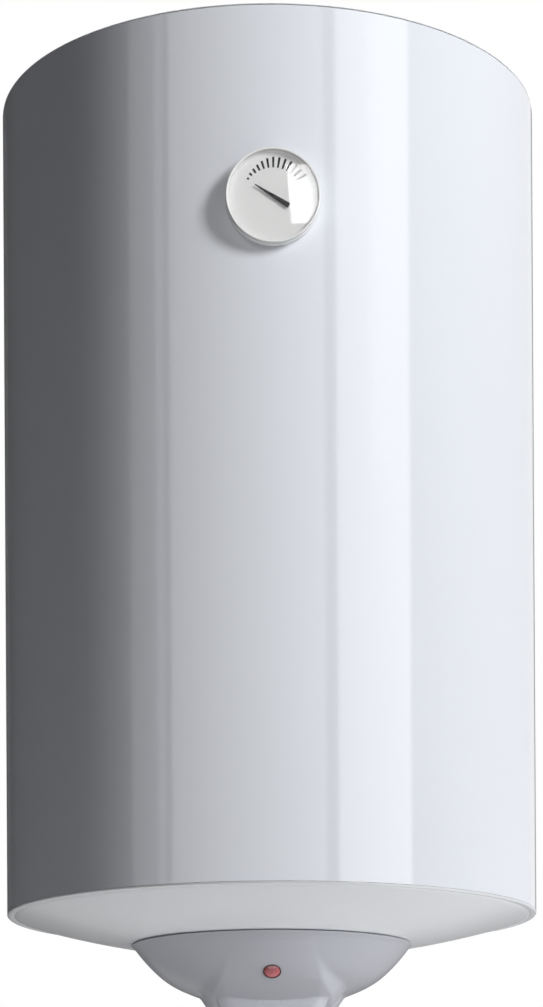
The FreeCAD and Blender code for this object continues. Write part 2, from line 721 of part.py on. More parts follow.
def lamp_seat():
    """Middle of the lamp on the console's face and the way it points."""
    radius, centre = console_ball()
    slope = math.asin(LAMP_CIRCLE_RADIUS / radius)
    place = Vector(0, -LAMP_CIRCLE_RADIUS, centre - radius * math.cos(slope))
    return place, Vector(0, -math.sin(slope), -math.cos(slope))


def lamp_bezel():
    """Dark round rim with a square stem that clips into the console."""
    place, outward = lamp_seat()
    half = LAMP_STEM_HALF
    rim = rod(LAMP_BEZEL_RADIUS, SEAT_GAP, SEAT_GAP + LAMP_BEZEL_HEIGHT)
    return laid(rim.fuse(block(-half, half, -half, half, -LAMP_STEM_LENGTH, SEAT_GAP)), place, outward)


def lamp_lens():
    """Domed red lens on the rim."""
    place, outward = lamp_seat()
    low = SEAT_GAP + LAMP_BEZEL_HEIGHT
    top = low + LAMP_LENS_EDGE + LAMP_LENS_RISE
    radius = (LAMP_LENS_RADIUS ** 2 + LAMP_LENS_RISE ** 2) / (2 * LAMP_LENS_RISE)
    lens = rod(LAMP_LENS_RADIUS, low, top + 1).common(ball(radius, top - radius, True))
    return laid(lens, place, outward)


# Thermostat, button, spindle and knob

def thermostat_body():
    """Moulded housing under the pocket, with its sensor rod up in the pocket."""
    half = THERMOSTAT_WIDTH / 2
    front = THERMOSTAT_SHIFT - THERMOSTAT_DEPTH / 2
    back = THERMOSTAT_SHIFT + THERMOSTAT_DEPTH / 2
    body = block(-half, half, front, back, THERMOSTAT_BOTTOM, THERMOSTAT_TOP)
    upright = [e for e in body.Edges if e.BoundBox.ZLength > THERMOSTAT_HEIGHT - 1]
    body = body.makeChamfer(THERMOSTAT_CORNER, upright)
    body = body.fuse(rod(SENSOR_RADIUS, THERMOSTAT_TOP - 1, THERMOSTAT_TOP + SENSOR_LENGTH))
    low = THERMOSTAT_BOTTOM - 1
    depth = THERMOSTAT_BOTTOM + SPINDLE_IN_BODY + SEAT_GAP
    body = body.cut(rod(SPINDLE_RADIUS + SHAFT_GAP, low, depth))
    depth = THERMOSTAT_BOTTOM + RESET_DEPTH + RESET_TRAVEL + SEAT_GAP
    return body.cut(rod(RESET_RADIUS + SHAFT_GAP, low, depth, RESET_OFFSET, THERMOSTAT_SHIFT))


def reset_button():
    """Red button of the safety cut-out, pressed upward into the thermostat."""
    low = THERMOSTAT_BOTTOM - RESET_PROUD
    return rod(RESET_RADIUS, low, THERMOSTAT_BOTTOM + RESET_DEPTH, RESET_OFFSET, THERMOSTAT_SHIFT)


def d_shaft(radius, low, high, extra):
    """Shaft with one flat, as a D in section."""
    side = radius - SPINDLE_FLAT + extra
    return rod(radius + extra, low, high).cut(block(side, radius + 2, -radius - 2, radius + 2, low, high))


def thermostat_spindle():
    """Round in the thermostat and D-shaped in the knob."""
    shoulder = KNOB_WELL_FLOOR + CAP_WALL
    shaft = rod(SPINDLE_RADIUS, shoulder, THERMOSTAT_BOTTOM + SPINDLE_IN_BODY)
    return shaft.fuse(d_shaft(SPINDLE_RADIUS, SPINDLE_END, shoulder, 0))


def temperature_knob():
    """Scalloped knob in the cap's well, with a grip bar across its face."""
    edge = KNOB_EDGE
    knob = revolved(
        (0, KNOB_FACE), (KNOB_RADIUS - edge, KNOB_FACE), (KNOB_RADIUS, KNOB_FACE + edge),
        (KNOB_RADIUS, KNOB_TOP), (0, KNOB_TOP))
    for i in range(KNOB_SCALLOPS):
        x, y = on_circle(KNOB_RADIUS + KNOB_SCALLOP_RADIUS - KNOB_SCALLOP_DEPTH, 360 * i / KNOB_SCALLOPS)
        knob = knob.cut(rod(KNOB_SCALLOP_RADIUS, KNOB_FACE - 1, KNOB_TOP + 1, x, y))
    half = KNOB_GRIP_WIDTH / 2
    reach = KNOB_RADIUS - edge - 0.5
    low = KNOB_FACE - KNOB_GRIP_HEIGHT
    grip = block(-half, half, -reach, reach, low, KNOB_FACE + 1)
    edges = [e for e in grip.Edges if abs(e.BoundBox.ZMax - low) < 1e-6 and e.Length > 2 * reach - 1]
    knob = knob.fuse(grip.makeChamfer(1.5, edges))
    return knob.cut(d_shaft(SPINDLE_RADIUS, SPINDLE_END - SEAT_GAP, KNOB_TOP + 1, SHAFT_GAP))


# Mains terminal block

def terminal_block():
    """Three-way block under the lid, in front of the lead's inlet."""
    half = BLOCK_WIDTH / 2
    front = BLOCK_RADIUS_FROM_AXIS - BLOCK_DEPTH / 2
    back = front + BLOCK_DEPTH
    top = lid_height(front) - SEAT_GAP
    low = top - BLOCK_HEIGHT
    body = block(-half, half, front, back, low, top)
    pitch = BLOCK_WIDTH / BLOCK_WAYS
    way = BLOCK_WAY_SIZE / 2
    middle = (low + top) / 2
    for i in range(BLOCK_WAYS):
        x = (i - (BLOCK_WAYS - 1) / 2) * pitch
        body = body.cut(block(x - way, x + way, front - 1, back + 1, middle - way, middle + way))
        if i:
            wall = x - pitch / 2
            body = body.cut(block(wall - 0.8, wall + 0.8, front - 1, back + 1, low - 1, low + 3))
    return body


# Thermometer, drawn with its face towards +Z and its zero on the casing

def dial_frame(shape):
    """Turn a thermometer piece to face the room and put it at its place on the casing."""
    moved = shape.copy()
    moved.rotate(Vector(0, 0, 0), Vector(1, 0, 0), 90)
    moved.translate(Vector(0, -CASING_RADIUS, DIAL_HEIGHT))
    moved.rotate(Vector(0, 0, 0), Vector(0, 0, 1), DIAL_AZIMUTH)
    return moved


def dial_hole(radius):
    """Cutter for the stem's way through casing and foam."""
    return dial_frame(rod(radius, TANK_RADIUS * 0.99 - CASING_RADIUS, DIAL_PROUD))


def thermometer_housing():
    """White cup with a tapered skirt, fitted to the casing's curve."""
    cup = revolved(
        (0, -5), (DIAL_RADIUS, -5), (DIAL_RADIUS, 0), (DIAL_FRONT_RADIUS, DIAL_PROUD),
        (DIAL_WINDOW_RADIUS, DIAL_PROUD), (DIAL_WINDOW_RADIUS, DIAL_FLOOR), (0, DIAL_FLOOR))
    cup = cup.cut(rod(ARBOR_RADIUS + SHAFT_GAP, DIAL_FACE - ARBOR_DEPTH, DIAL_PROUD))
    return dial_frame(cup).cut(rod(CASING_RADIUS + SEAT_GAP, 0, CASING_HEIGHT))


def thermometer_stem():
    """Metal rod from the back of the housing to the tank, around the bimetal helix."""
    low = TANK_RADIUS + SEAT_GAP - CASING_RADIUS
    return dial_frame(rod(STEM_RADIUS, low, SEAT_GAP))


def thermometer_lens():
    """Clear domed window pressed into the housing's bore."""
    low = DIAL_PROUD - LENS_THICKNESS
    radius = (DIAL_WINDOW_RADIUS ** 2 + LENS_RISE ** 2) / (2 * LENS_RISE)
    dome = ball(radius, DIAL_PROUD + LENS_RISE - radius, True)
    return dial_frame(rod(DIAL_WINDOW_RADIUS - LENS_GAP, low, DIAL_PROUD + LENS_RISE + 1).common(dome))


def thermometer_dial():
    """White plate behind the needle, on the housing's floor."""
    edge = DIAL_WINDOW_RADIUS - LENS_GAP
    return dial_frame(ring(edge, ARBOR_RADIUS + SHAFT_GAP, DIAL_FLOOR, DIAL_FACE))


def needle_turned(shape):
    """Turn a needle drawn along +X to the cold end of the scale."""
    moved = shape.copy()
    moved.rotate(Vector(0, 0, 0), Vector(0, 0, 1), NEEDLE_COLD_ANGLE)
    return moved


def thermometer_needle():
    """Flat tapered pointer with a blunt tail and a small hub in front."""
    low = DIAL_FACE + NEEDLE_LIFT
    tail = NEEDLE_WIDTH / 2
    tip = NEEDLE_TIP_WIDTH / 2
    points = [
        Vector(-NEEDLE_TAIL, -tail, low), Vector(NEEDLE_TIP, -tip, low),
        Vector(NEEDLE_TIP, tip, low), Vector(-NEEDLE_TAIL, tail, low)]
    blade = Part.Face(Part.makePolygon(points + points[:1])).extrude(Vector(0, 0, NEEDLE_SHEET))
    hub = rod(NEEDLE_HUB_RADIUS, low + NEEDLE_SHEET, low + NEEDLE_SHEET + NEEDLE_HUB_HEIGHT)
    return dial_frame(needle_turned(blade.fuse(hub)))


def needle_arbor():
    """Thin shaft that carries the needle and turns in the dial and the housing."""
    low = DIAL_FACE - ARBOR_DEPTH + SEAT_GAP
    return dial_frame(rod(ARBOR_RADIUS, low, DIAL_FACE + NEEDLE_LIFT))


# All nodes

def all_nodes():
    """Every piece by the name of its node."""
    return {
        "casing_shell": casing_shell(),
        "top_lid": top_lid(),
        "bottom_lid": bottom_lid(),
        "insulation_foam": insulation_foam(),
        "tank_shell": tank_shell(),
        "element_flange": element_flange(),
        "flange_bolts": flange_bolts(),
        "heating_element": heating_element(),
        "element_terminals": element_terminals(),
        "magnesium_anode": magnesium_anode(),
        "hot_nipple": pipe_nipple(HOT_SIDE),
        "cold_nipple": pipe_nipple(-HOT_SIDE),
        "hot_ring": colour_ring(HOT_SIDE),
        "cold_ring": colour_ring(-HOT_SIDE),
        "hot_standpipe": hot_standpipe(),
        "inlet_diffuser": inlet_diffuser(),
        "bracket_studs": bracket_studs(),
        "bracket_nuts": bracket_nuts(),
        "wall_bracket": wall_bracket(),
        "wall_spacer": wall_spacer(),
        "thermostat_body": thermostat_body(),
        "thermostat_spindle": thermostat_spindle(),
        "reset_button": reset_button(),
        "temperature_knob": temperature_knob(),
        "terminal_block": terminal_block(),
        "electrical_cap": electrical_cap(),
        "cap_screws": cap_screws(),
        "lead_inlet": lead_inlet(),
        "lamp_bezel": lamp_bezel(),
        "lamp_lens": lamp_lens(),
        "thermometer_housing": thermometer_housing(),
        "thermometer_stem": thermometer_stem(),
        "thermometer_lens": thermometer_lens(),
        "thermometer_dial": thermometer_dial(),
        "thermometer_needle": thermometer_needle(),
        "needle_arbor": needle_arbor(),
    }


os.makedirs("parts", exist_ok=True)
for name, shape in all_nodes().items():
    placed = shape.copy()
    placed.translate(ORIGIN * -1)
    placed.exportStep("parts/" + name + ".step")
    box = placed.BoundBox
    print("%-22s solids %d  valid %s  volume %9.0f  box %.1f %.1f %.1f to %.1f %.1f %.1f" % (
        name, len(placed.Solids), placed.isValid(), placed.Volume,
        box.XMin, box.YMin, box.ZMin, box.XMax, box.YMax, box.ZMax))
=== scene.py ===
import json
import math
import bmesh
import bpy
from mathutils import Matrix, Vector


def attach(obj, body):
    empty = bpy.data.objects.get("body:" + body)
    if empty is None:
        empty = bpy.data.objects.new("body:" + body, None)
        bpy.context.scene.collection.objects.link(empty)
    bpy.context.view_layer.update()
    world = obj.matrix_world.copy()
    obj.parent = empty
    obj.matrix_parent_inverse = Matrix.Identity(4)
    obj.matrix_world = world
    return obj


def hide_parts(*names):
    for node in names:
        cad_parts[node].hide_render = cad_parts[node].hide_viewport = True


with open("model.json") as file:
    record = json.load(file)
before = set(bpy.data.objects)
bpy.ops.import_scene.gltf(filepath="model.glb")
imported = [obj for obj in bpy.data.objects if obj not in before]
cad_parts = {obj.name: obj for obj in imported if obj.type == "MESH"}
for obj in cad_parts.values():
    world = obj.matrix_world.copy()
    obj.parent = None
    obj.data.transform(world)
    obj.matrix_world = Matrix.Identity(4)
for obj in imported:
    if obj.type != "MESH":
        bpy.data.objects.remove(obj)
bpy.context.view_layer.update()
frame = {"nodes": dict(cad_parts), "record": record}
nodes = frame["nodes"]
scene = bpy.context.scene

# Shapes are in millimetres about the casing's axis, zero at its lower rim
WALL = 240.0            # from the axis to the wall
BRACKET = 518.0         # from the lower rim up to the bracket's slots
CASING = 225.0          # casing's outer radius
PIPE_SIDE = 50.0        # pipes to either side of the axis
PIPE_BACK = 140.0       # pipes behind the axis
GAP = 0.3               # between pieces that touch


def at(x, y, z):
    """Point of the model's frame, in metres."""
    return Vector((x, y - WALL, z - BRACKET)) / 1000


# ---------------------------------------------------------------- materials

MIX_DARK, MIX_LIGHT, MIX_OUT = 6, 7, 2      # colour sockets of a Mix node


def material(name, colour, rough, metal=0.0, **more):
    """Procedural finish: a faint mottle over one base colour and a fine grain in the surface."""
    mat = bpy.data.materials.new(name)
    mat.use_nodes = True
    tree = mat.node_tree
    shader = tree.nodes["Principled BSDF"]
    place = tree.nodes.new("ShaderNodeTexCoord")
    mottle = tree.nodes.new("ShaderNodeTexNoise")
    mottle.inputs["Scale"].default_value = more.get("patch", 14.0)
    mottle.inputs["Detail"].default_value = 4.0
    stretch = tree.nodes.new("ShaderNodeMapping")
    stretch.inputs["Scale"].default_value = more.get("stretch", (1, 1, 1))
    grain = tree.nodes.new("ShaderNodeTexNoise")
    grain.inputs["Scale"].default_value = more.get("grain", 420.0)
    grain.inputs["Detail"].default_value = 2.0
    tint = tree.nodes.new("ShaderNodeMix")
    tint.data_type = "RGBA"
    spread = more.get("spread", 0.03) * 2
    tint.inputs[MIX_DARK].default_value = [max(c * (1 - spread), 0) for c in colour] + [1]
    tint.inputs[MIX_LIGHT].default_value = [min(c * (1 + spread), 1) for c in colour] + [1]
    bump = tree.nodes.new("ShaderNodeBump")
    bump.inputs["Strength"].default_value = more.get("bump", 0.03)
    bump.inputs["Distance"].default_value = more.get("depth", 0.00005)
    for source, target in (
            (place.outputs["Object"], mottle.inputs["Vector"]),
            (mottle.outputs["Fac"], tint.inputs[0]),
            (tint.outputs[MIX_OUT], shader.inputs["Base Color"]),
            (place.outputs["Object"], stretch.inputs["Vector"]),
            (stretch.outputs["Vector"], grain.inputs["Vector"]),
            (grain.outputs["Fac"], bump.inputs["Height"]),
            (bump.outputs["Normal"], shader.inputs["Normal"])):
        tree.links.new(source, target)
    plain = {"Roughness": rough, "Metallic": metal, "IOR": 1.5, "Coat Roughness": 0.05,
             "Specular IOR Level": more.get("specular", 0.5),
             "Coat Weight": more.get("coat", 0.0),
             "Transmission Weight": more.get("clear", 0.0),
             "Alpha": more.get("alpha", 1.0)}
    for socket, value in plain.items():
        shader.inputs[socket].default_value = value
    swing = more.get("swing", 0.03)
    if swing:
        span = tree.nodes.new("ShaderNodeMapRange")
        span.inputs["To Min"].default_value = max(rough - swing, 0.02)
        span.inputs["To Max"].default_value = min(rough + swing, 1)
        tree.links.new(mottle.outputs["Fac"], span.inputs["Value"])
        tree.links.new(span.outputs["Result"], shader.inputs["Roughness"])
    return mat


FINISH = {
    "casing_paint": material("casing_enamel", (0.775, 0.80, 0.86), 0.09, spread=0.006,
                             swing=0.0, grain=260, bump=0.012, patch=5),
    "lid_paint": material("lid_enamel", (0.795, 0.81, 0.84), 0.22, spread=0.008,
                          swing=0.0, grain=420, bump=0.03, patch=9),
    "foam": material("rigid_foam", (0.78, 0.68, 0.42), 0.95, spread=0.12, grain=300,
                     bump=0.8, depth=0.0006, patch=40),
    "tank_steel": material("tank_enamel", (0.035, 0.045, 0.075), 0.3, spread=0.15,
                           bump=0.1, patch=20),
    "plate_steel": material("zinc_plate", (0.58, 0.58, 0.57), 0.35, 1.0, spread=0.10,
                            swing=0.10, patch=120, bump=0.08),
    "fastener_steel": material("zinc_fastener", (0.62, 0.61, 0.58), 0.32, 1.0, spread=0.08,
                               swing=0.06, patch=160, bump=0.05),
    "element_copper": material("copper_sheath", (0.70, 0.36, 0.22), 0.32, 1.0, spread=0.10,
                               swing=0.08, patch=60),
    "terminal_ceramic": material("ceramic", (0.80, 0.77, 0.70), 0.6, spread=0.04),
    "magnesium": material("cast_magnesium", (0.42, 0.42, 0.41), 0.6, 0.8, spread=0.08,
                          bump=0.5, depth=0.0002, grain=500),
    "pipe_steel": material("galvanised_pipe", (0.60, 0.61, 0.61), 0.38, 1.0, spread=0.12,
                           swing=0.10, patch=90, bump=0.1),
    "ring_red": material("red_plastic", (0.56, 0.02, 0.015), 0.35, spread=0.04),
    "ring_blue": material("blue_plastic", (0.02, 0.10, 0.42), 0.35, spread=0.04),
    "standpipe_steel": material("stainless_tube", (0.62, 0.62, 0.61), 0.25, 1.0,
                                stretch=(1, 1, 0.02), bump=0.1),
    "diffuser_plastic": material("natural_plastic", (0.72, 0.72, 0.67), 0.45, spread=0.03),
    "bracket_paint": material("white_powder_coat", (0.78, 0.79, 0.80), 0.42, spread=0.02,
                              grain=620, bump=0.12, depth=0.0001),
    "thermostat_plastic": material("black_plastic", (0.018, 0.018, 0.02), 0.42, spread=0.15,
                                   grain=2200, bump=0.2),
    "spindle_plastic": material("white_plastic", (0.74, 0.74, 0.70), 0.4, spread=0.02),
    "button_red": material("button_plastic", (0.50, 0.02, 0.02), 0.38, spread=0.05),
    "knob_plastic": material("knob_grey", (0.43, 0.44, 0.48), 0.30, spread=0.02,
                             swing=0.0, grain=900, bump=0.04),
    "block_plastic": material("block_white", (0.80, 0.78, 0.70), 0.5, spread=0.02),
    "cap_plastic": material("cap_grey", (0.475, 0.485, 0.53), 0.27, spread=0.012, patch=16,
                            swing=0.0, grain=330, bump=0.015),
    "inlet_plastic": material("inlet_black", (0.02, 0.02, 0.022), 0.45, spread=0.12,
                              grain=2000, bump=0.2),
    "lamp_rim": material("lamp_black", (0.11, 0.042, 0.038), 0.25, spread=0.1),
    "lamp_red": material("lamp_red_clear", (0.68, 0.15, 0.17), 0.10, spread=0.10, patch=160,
                         clear=0.15, coat=0.5),
    "dial_housing": material("dial_white", (0.80, 0.80, 0.80), 0.16, spread=0.006, swing=0.0,
                             bump=0.01),
    "stem_metal": material("bare_brass", (0.72, 0.56, 0.26), 0.25, 1.0, spread=0.06),
    "dial_lens": material("clear_window", (0.02, 0.02, 0.02), 0.04, spread=0.05, swing=0.01,
                          bump=0.0, specular=1.0, alpha=0.08),
    "dial_plate": material("printed_plate", (0.92, 0.92, 0.915), 0.55, spread=0.006),
    "needle_paint": material("needle_black", (0.010, 0.010, 0.011), 0.6, spread=0.1,
                             specular=0.1),
}
TOP_ENAMEL = material("top_enamel", (0.795, 0.81, 0.84), 0.5, spread=0.008, swing=0.0,
                      bump=0.03)
PRINT = material("black_print", (0.014, 0.014, 0.016), 0.7, spread=0.1, specular=0.1)

slots = {part["node"]: part["material_slot"] for part in frame["record"]["subparts"]}
for name, piece in nodes.items():
    piece.data.materials.clear()
    piece.data.materials.append(FINISH[slots[name]])


# ---------------------------------------------------------------- mesh helpers

WELD = 1e-7             # metres between points that become one
BORE_STEPS = 48         # steps round a bore
BOX_FACES = ((0, 1, 3, 2), (4, 6, 7, 5), (0, 4, 5, 1), (2, 3, 7, 6), (0, 2, 6, 4), (1, 5, 7, 3))


def object_from(name, shape):
    """Object from metre vertices and faces, welded, with its faces turned outwards."""
    verts, faces = shape
    mesh = bpy.data.meshes.new(name)
    mesh.from_pydata([tuple(v) for v in verts], [], faces)
    mesh.validate()
    work = bmesh.new()
    work.from_mesh(mesh)
    bmesh.ops.remove_doubles(work, verts=work.verts, dist=WELD)
    bmesh.ops.recalc_face_normals(work, faces=work.faces)
    work.to_mesh(mesh)
    work.free()
    made = bpy.data.objects.new(name, mesh)
    scene.collection.objects.link(made)
    return made


def shade(mesh, angle=35.0):
    """Smooth shading that keeps edges over an angle sharp."""
    mesh.shade_smooth()
    mesh.set_sharp_from_angle(angle=math.radians(angle))


def piece_from(name, shape, slot, body="heater", stands_for=(), angle=35.0, finish=None):
    """Shaded piece riding on a body and standing for CAD nodes."""
    piece = object_from(name, shape)
    shade(piece.data, angle)
    piece.data.materials.append(finish or FINISH[slot])
    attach(piece, body)
    if stands_for:
        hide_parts(*stands_for)
    return piece


def turns(steps):
    """Angles of even steps round a full turn."""
    return [2 * math.pi * i / steps for i in range(steps)]


def arc(cx, cy, radius, start, end, steps):
    """Points on an arc, angles in degrees counted from the first axis."""
    points = []
    for i in range(steps + 1):
        a = math.radians(start + (end - start) * i / steps)
        points.append((cx + radius * math.cos(a), cy + radius * math.sin(a)))
    return points


def ring(radius, height, steps, cx=0.0, cy=0.0):
    """Row of points round an upright axis; the radius is a number or a function of the turn."""
    size = radius if callable(radius) else lambda turn: radius
    return [(cx + size(turn) * math.cos(turn), cy + size(turn) * math.sin(turn), height)
            for turn in turns(steps)]


def lathe(profile, steps, place=at, cx=0.0, cy=0.0):
    """Closed profile of radius and height turned about an upright axis."""
    verts = [place(cx + radius * math.cos(turn), cy + radius * math.sin(turn), height)
             for turn in turns(steps) for radius, height in profile]
    count = len(profile)
    faces = []
    for i in range(steps):
        j = (i + 1) % steps
        for k in range(count):
            n = (k + 1) % count
            faces.append((i * count + k, i * count + n, j * count + n, j * count + k))
    return verts, faces


def net(rows, place=at, closed=True):
    """Net over rows of points, with the last row joined to the first where it is closed."""
    steps = len(rows[0])
    faces = []
    for k in range(len(rows) if closed else len(rows) - 1):
        n = (k + 1) % len(rows)
        for i in range(steps):
            j = (i + 1) % steps
            faces.append((k * steps + i, k * steps + j, n * steps + j, n * steps + i))
    return [place(*point) for row in rows for point in row], faces


def prism(rows, place=at):
    """Solid between two like outlines."""
    count = len(rows[0])
    faces = [(i, (i + 1) % count, count + (i + 1) % count, count + i) for i in range(count)]
    faces += [tuple(range(count)), tuple(range(count, 2 * count))]
    return [place(*point) for row in rows for point in row], faces


def bars(rows, heights, place=at):
    """Flat bars on rays from the axis; a row is the ray in degrees, then radius and half width
    at either end."""
    verts, faces = [], []
    for degrees, *ends in rows:
        a = math.radians(degrees)
        faces += [tuple(len(verts) + corner for corner in face) for face in BOX_FACES]
        verts += [place(radius * math.cos(a) - sign * half * math.sin(a),
                        radius * math.sin(a) + sign * half * math.cos(a), height)
                  for height in heights for radius, half in ends for sign in (-1, 1)]
    return verts, faces


def cut_by(piece, shape):
    """Subtract a closed shape for good."""
    cutter = object_from("cutter", shape)
    tool = piece.modifiers.new("cut", "BOOLEAN")
    tool.object = cutter
    tool.operation = "DIFFERENCE"
    tool.solver = "EXACT"
    graph = bpy.context.evaluated_depsgraph_get()
    mesh = bpy.data.meshes.new_from_object(piece.evaluated_get(graph))
    piece.modifiers.clear()
    piece.data = mesh
    bpy.data.objects.remove(cutter)
    shade(mesh)


def rod(radius, low, high, cx, cy):
    """Upright rod to cut with."""
    profile = [(0.0, low), (radius, low), (radius, high), (0.0, high)]
    return lathe(profile, BORE_STEPS, cx=cx, cy=cy)


def box(x0, x1, y0, y1, z0, z1):
    """Box to cut with."""
    return [at(x, y, z) for x in (x0, x1) for y in (y0, y1) for z in (z0, z1)], BOX_FACES


# ---------------------------------------------------------------- lids with rolled rims

ROUND = 256             # steps round the casing
DISH = 770.0            # radius of the bottom lid's dish
DISH_START = 219.0      # radius at which the dish leaves the lower rim
DISH_CENTRE = math.sqrt(DISH ** 2 - DISH_START ** 2)
SHEET = 1.5
NIPPLE_HOLE = 10.95


def lid_height(radius, inward=0.0):
    """Height of the dish's outer face, or of that face moved inwards."""
    return DISH_CENTRE - math.sqrt((DISH - inward) ** 2 - radius ** 2)


def dish(start, end, inward, steps):
    """Profile points of the dish."""
    radii = [start + (end - start) * i / steps for i in range(steps + 1)]
    return [(radius, lid_height(radius, inward)) for radius in radii]


bottom = [(222.0, 1.7), (225.0, 1.7)]
bottom += arc(223.2, 1.8, 1.8, 0, -90, 6)[1:]
bottom += [(221.4, 0.0), (220.5, 0.08), (219.9, 0.40), (219.3, 0.52), (218.7, 0.40), (218.1, 0.0)]
bottom += dish(217.4, 76.0, 0.0, 40) + dish(76.0, 218.0, SHEET, 30)
lid = piece_from("bottom_lid_pressed", lathe(bottom, ROUND), "lid_paint",
                 stands_for=["bottom_lid"], angle=50)
for cx in (-PIPE_SIDE, PIPE_SIDE):
    cut_by(lid, rod(NIPPLE_HOLE, -60, 4, cx, PIPE_BACK))

top = [(0.0, 682.3), (205.0, 682.3), (211.0, 680.6), (217.0, 676.3), (223.7, 676.3)]
top += arc(223.3, 676.3, 1.7, 26, 90, 6)
top += [(219.0, 678.0), (217.2, 678.3), (211.0, 681.9), (205.6, 683.6), (200.0, 684.0),
        (0.0, 684.0)]
piece_from("top_lid_pressed", lathe(top, ROUND), "lid_paint", stands_for=["top_lid"], angle=50,
           finish=TOP_ENAMEL)


# ---------------------------------------------------------------- moulded cap

CAP_TOP = lid_height(114.5) - GAP
BOWL_TOP = CAP_TOP - 2.8
CAP_FLOOR = BOWL_TOP - 55.7
BOSS_SLOPE = math.tan(math.radians(33.5))
# Radius and height of circles on the bowl: its mouth, where its curves meet, and the boss's neck
MOUTH = (117.0, BOWL_TOP)
KNEE = (88.0, BOWL_TOP - 29.8)
NECK = (62.0, BOWL_TOP - 41.1)
CONSOLE_TOP = 108.0     # radius at which the console's face leaves the bowl
CONSOLE_REACH = 112.0   # radius beyond which there is no console
CONSOLE_BACK = -30.0    # the console and its block lie in front of this line
CONSOLE_SLOPE = 0.72    # of its flared sides
BLOCK_FLOOR = BOWL_TOP - 49.0
BLOCK_HALF = 46.0
BLOCK_RADIUS = 69.0     # that its corners are rounded to
CAP_STEPS = 360
ABSENT = 100.0          # height that gives way to any other form


def ball_through(wide, high, narrow, low):
    """Radius and centre height of the sphere on the axis through two circles."""
    centre = (wide ** 2 - narrow ** 2 + high ** 2 - low ** 2) / (2 * (high - low))
    return math.hypot(wide, high - centre), centre


def under(ball, radius):
    """Height of a sphere's lower half at a radius from the axis."""
    size, centre = ball
    return centre - math.sqrt(max(size ** 2 - radius ** 2, 1.0))


UPPER = ball_through(*MOUTH, *KNEE)
LOWER = ball_through(*KNEE, *NECK)
PANEL = ball_through(CONSOLE_TOP, under(UPPER, CONSOLE_TOP), 58.0, BLOCK_FLOOR)


def soft_min(a, b, width):
    """Lower of two heights with a rounded crossing."""
    h = max(width - abs(a - b), 0.0) / width
    return min(a, b) - h * h * width / 4


def soft_max(a, b, width):
    """Upper of two heights with a rounded crossing."""
    return -soft_min(-a, -b, width)


def bowl_depth(radius):
    """Height of the bowl's outer face, with its two curves run into one."""
    return soft_max(under(UPPER, radius), under(LOWER, radius), 2.4)


def console_depth(x, y, radius):
    """Height of the console's face, flatter across than the bowl, and of its flared sides."""
    if y > CONSOLE_BACK or radius > CONSOLE_REACH:
        return ABSENT
    lead = min(max((103.0 - radius) / 15.0, 0.0), 1.0)
    face = under(PANEL, radius) - 2.8 * lead * (min(abs(x), 40.0) / 36.0) ** 2
    half = 35.0 + 13.5 * min(max((100.0 + y) / 41.5, -0.4), 1.1)
    return face + max(abs(x) - half, 0.0) * CONSOLE_SLOPE


def block_depth(x, y, radius):
    """Height of the upright flat front under the console, with rounded corners."""
    if y >= CONSOLE_BACK:
        return ABSENT
    front = BLOCK_FLOOR - (58.5 + y) * 5.5
    flank = max(BOWL_TOP - 48.0 + (abs(x) - BLOCK_HALF) * 3.0,
                BLOCK_FLOOR + (radius - BLOCK_RADIUS) * 2.2)
    return soft_max(front, flank, 9.0)


def cap_height(x, y, radius):
    """Height of the cap's outer face over a plan position."""
    depth = soft_min(bowl_depth(radius), console_depth(x, y, radius), 2.0)
    depth = soft_min(depth, NECK[1] - (NECK[0] - radius) / BOSS_SLOPE, 2.2)
    depth = soft_min(depth, block_depth(x, y, radius), 1.4)
    return soft_max(depth, CAP_FLOOR, 1.6)


def cap_net():
    """Outer face on a polar net, closed by the knob's well, the lip and an inner face."""
    radii = [24.0, 24.6, 26.0, 32.0, 40.0, 47.0]
    radii += [48.5 + 0.75 * i for i in range(20)]
    radii += [64.0 + 1.0 * i for i in range(53)]
    well = [(4.0, 14.5), (4.0, 12.0), (23.6, 12.0), (24.0, 11.6), (24.0, 0.5)]
    lip = [(117.9, BOWL_TOP + 0.75), (118.7, BOWL_TOP + 1.55), (119.3, CAP_TOP - 0.6),
           (119.4, CAP_TOP - 0.15), (119.1, CAP_TOP), (114.6, CAP_TOP)]
    inner = [(radius, bowl_depth(radius + 1.6) + 2.0)
             for radius in (113.0, 105.0, 95.0, 85.0, 75.0, 66.0)]
    inner += [(58.0, BOWL_TOP - 42.0), (50.0, CAP_FLOOR + 3.0), (26.5, CAP_FLOOR + 3.0),
              (26.5, CAP_FLOOR + 14.5), (4.0, CAP_FLOOR + 14.5)]
    rows = [ring(radius, CAP_FLOOR + height, CAP_STEPS) for radius, height in well]
    rows += [[(x, y, cap_height(x, y, radius)) for x, y, _ in ring(radius, 0.0, CAP_STEPS)]
             for radius in radii]
    rows += [ring(radius, height, CAP_STEPS) for radius, height in lip + inner]
    return net(rows, closed=False)


cap = piece_from("moulded_cap", cap_net(), "cap_plastic", stands_for=["electrical_cap"], angle=60)


# ---------------------------------------------------------------- wells for the cap's screws

SCREW_RADIUS = 92.0     # of the circle that the two screws stand on
SCREW_TURN = math.radians(32)
SCREW_FLOOR = lid_height(SCREW_RADIUS - 8.0) - GAP - 2.5
WELL_BORE = 5.5
WELL_WALL = 7.4
WELL_FLOOR = 2.4        # thickness
ON_AXIS = 0.001         # radius of a row that closes a face at its middle
SCREWS = [(sign * SCREW_RADIUS * math.cos(SCREW_TURN), SCREW_RADIUS * math.sin(SCREW_TURN))
          for sign in (-1, 1)]


